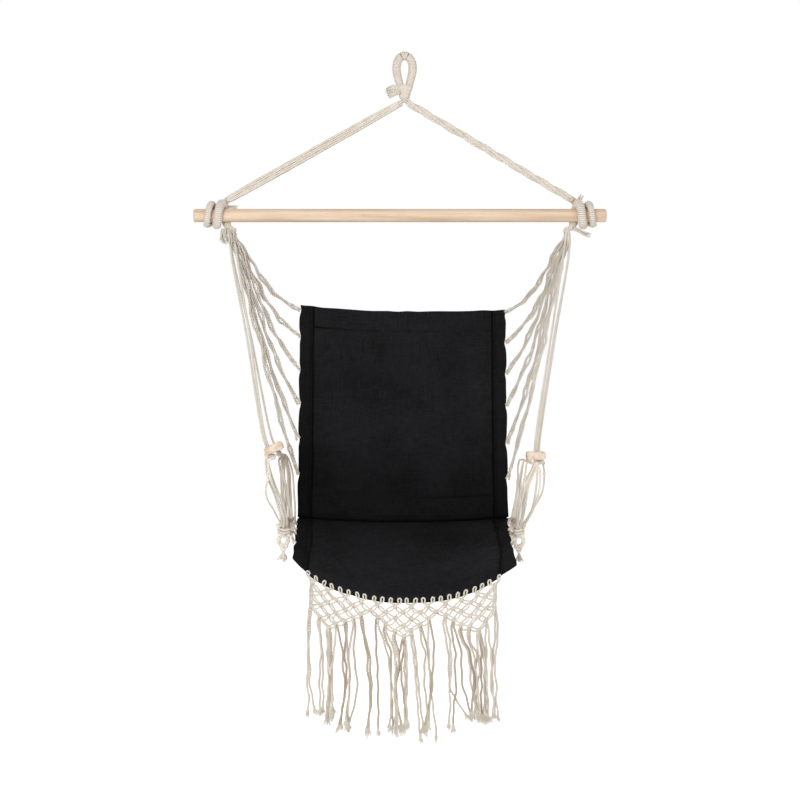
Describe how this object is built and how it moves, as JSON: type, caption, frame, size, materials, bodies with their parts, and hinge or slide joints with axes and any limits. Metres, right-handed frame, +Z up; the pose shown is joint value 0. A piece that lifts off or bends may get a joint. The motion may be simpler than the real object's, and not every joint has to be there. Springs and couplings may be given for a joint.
{
  "type": "hammock chair",
  "caption": "Hanging chair: padded cloth sling on knotted cords under a wooden spreader bar, with arm slats, a rope eye and a knotted fringe.",
  "frame": {"origin": "inside top of the rope eye, where the chair hangs", "axes": "+Z up, +X to the right of someone who faces the chair, and the chair faces -Y"},
  "size_m": [1, 0.5384, 1.6315],
  "materials": {
    "cotton_cord": "matte",
    "black_canvas": "matte",
    "beech": "satin"
  },
  "bodies": {
    "hang_eye": {"hanging_eye": "cotton_cord", "eye_tail": "cotton_cord", "throat_whipping": "cotton_cord"},
    "apex": {"bridle_apex": "cotton_cord"},
    "bridle": {"bridle_left_cord_1": "cotton_cord", "bridle_left_cord_2": "cotton_cord", "bridle_left_cord_3": "cotton_cord", "bridle_left_cord_4": "cotton_cord", "bridle_right_rope": "cotton_cord", "bar_wrap_left": "cotton_cord", "bar_wrap_right": "cotton_cord", "wrap_tail_left": "cotton_cord", "wrap_tail_right_top": "cotton_cord", "wrap_tail_right_low": "cotton_cord"},
    "bar": {"spreader_bar": "beech"},
    "sling": {"back_cord_left_1": "cotton_cord", "back_cord_left_2": "cotton_cord", "back_cord_left_3": "cotton_cord", "back_cord_left_4": "cotton_cord", "back_cord_left_5": "cotton_cord", "back_cord_left_6": "cotton_cord", "back_cord_right_1": "cotton_cord", "back_cord_right_2": "cotton_cord", "back_cord_right_3": "cotton_cord", "back_cord_right_4": "cotton_cord", "back_cord_right_5": "cotton_cord", "back_cord_right_6": "cotton_cord", "arm_front_cord_left_1": "cotton_cord", "arm_front_cord_left_2": "cotton_cord", "arm_rear_cord_left": "cotton_cord", "arm_front_cord_right_1": "cotton_cord", "arm_front_cord_right_2": "cotton_cord", "arm_rear_cord_right": "cotton_cord", "lower_cord_left_1": "cotton_cord", "lower_cord_left_2": "cotton_cord", "lower_cord_left_3": "cotton_cord", "lower_cord_left_4": "cotton_cord", "lower_cord_right_1": "cotton_cord", "lower_cord_right_2": "cotton_cord", "lower_cord_right_3": "cotton_cord", "lower_cord_right_4": "cotton_cord", "back_pad": "black_canvas"},
    "arm_left": {"armrest_left": "beech", "arm_knot_front_left": "cotton_cord", "arm_knot_rear_left": "cotton_cord"},
    "arm_right": {"armrest_right": "beech", "arm_knot_front_right": "cotton_cord", "arm_knot_rear_right": "cotton_cord"},
    "seat": {"seat_pad": "black_canvas", "gather_left": "cotton_cord", "tassel_left": "cotton_cord", "gather_right": "cotton_cord", "tassel_right": "cotton_cord"},
    "fringe": {"macrame_fringe": "cotton_cord"}
  },
  "joints": [
    {"name": "chair_sway", "type": "hinge", "parent": "hang_eye", "child": "apex", "pos_m": [0, 0, -0.0998], "axis": [0, 1, 0], "range_deg": [-12, 12]},
    {"name": "chair_swing", "type": "hinge", "parent": "apex", "child": "bridle", "pos_m": [0, 0, -0.0998], "axis": [1, 0, 0], "range_deg": [-20, 20]},
    {"name": "bar_roll", "type": "hinge", "parent": "bridle", "child": "bar", "pos_m": [-0.011, 0, -0.378], "axis": [1, 0, 0], "continuous": true},
    {"name": "sling_swing", "type": "hinge", "parent": "bridle", "child": "sling", "pos_m": [-0.011, 0, -0.378], "axis": [1, 0, 0], "range_deg": [-15, 15]},
    {"name": "arm_left_tilt", "type": "hinge", "parent": "sling", "child": "arm_left", "pos_m": [-0.31601, 0, -0.934], "axis": [-0.0654, 0.9975, -0.0253], "range_deg": [-6, 6]},
    {"name": "arm_right_tilt", "type": "hinge", "parent": "sling", "child": "arm_right", "pos_m": [0.31705, 0, -0.952], "axis": [0.0697, 0.9972, -0.0288], "range_deg": [-6, 6]},
    {"name": "seat_fold", "type": "hinge", "parent": "sling", "child": "seat", "pos_m": [-0.004, 0.085, -1.1155], "axis": [-1, 0, 0], "range_deg": [0, 25], "deforming": ["lower_cord_left_1", "lower_cord_left_2", "lower_cord_left_3", "lower_cord_left_4", "lower_cord_right_1", "lower_cord_right_2", "lower_cord_right_3", "lower_cord_right_4"]},
    {"name": "fringe_hang", "type": "hinge", "parent": "seat", "child": "fringe", "pos_m": [-0.004, -0.348, -1.276], "axis": [-1, 0, 0], "range_deg": [-25, 0]}
  ],
  "couplings": [
    {"joint": "fringe_hang", "follows": "seat_fold", "ratio": -1}
  ]
}
